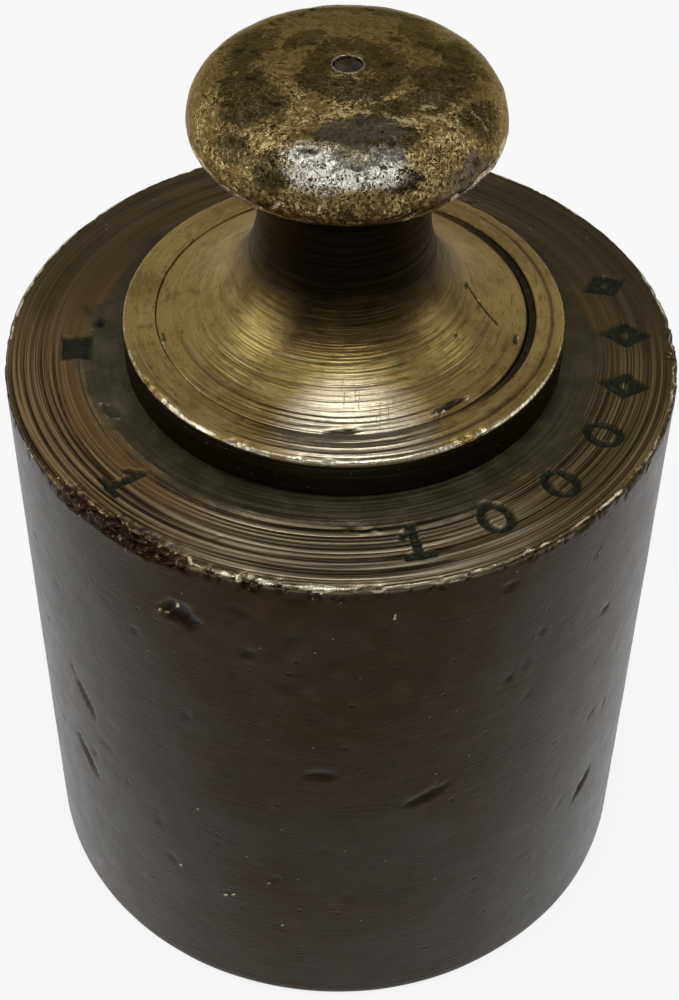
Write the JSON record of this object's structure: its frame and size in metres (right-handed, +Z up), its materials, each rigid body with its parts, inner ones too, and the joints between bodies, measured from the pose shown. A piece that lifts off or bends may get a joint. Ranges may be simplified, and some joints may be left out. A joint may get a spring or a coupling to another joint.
{
  "type": "cylindrical knob weight",
  "caption": "Turned brass cylinder weight with a mushroom knob that screws out of a loose collar disc to reach a shot-filled adjusting chamber.",
  "frame": {"origin": "centre of the flat face that the weight stands on", "axes": "+Z up along the turned axis, from the base to the crown of the knob; +X towards the side on which the gap round the knob's foot is widest"},
  "size_m": [0.052, 0.052, 0.078],
  "materials": {
    "body_brass": "dark brown patina, turned lines on the shoulder",
    "knob_brass": "satin handled brass with pitted patina",
    "lead": "dull oxidised lead"
  },
  "bodies": {
    "cylinder": {"body": "body_brass", "lead_shot": "lead"},
    "disc": {"collar": "knob_brass"},
    "grip": {"knob": "knob_brass", "top_plug": "lead"}
  },
  "joints": [
    {"name": "knob_rise", "type": "slide", "parent": "cylinder", "child": "disc", "axis": [0, 0, 1], "range_m": [0, 0.008]},
    {"name": "knob_turn", "type": "hinge", "parent": "disc", "child": "grip", "pos_m": [0, 0, 0.0559], "axis": [0, 0, 1], "range_deg": [0, 1440]}
  ],
  "couplings": [
    {"joint": "knob_turn", "follows": "knob_rise", "rad_per_m": 3141.6}
  ]
}
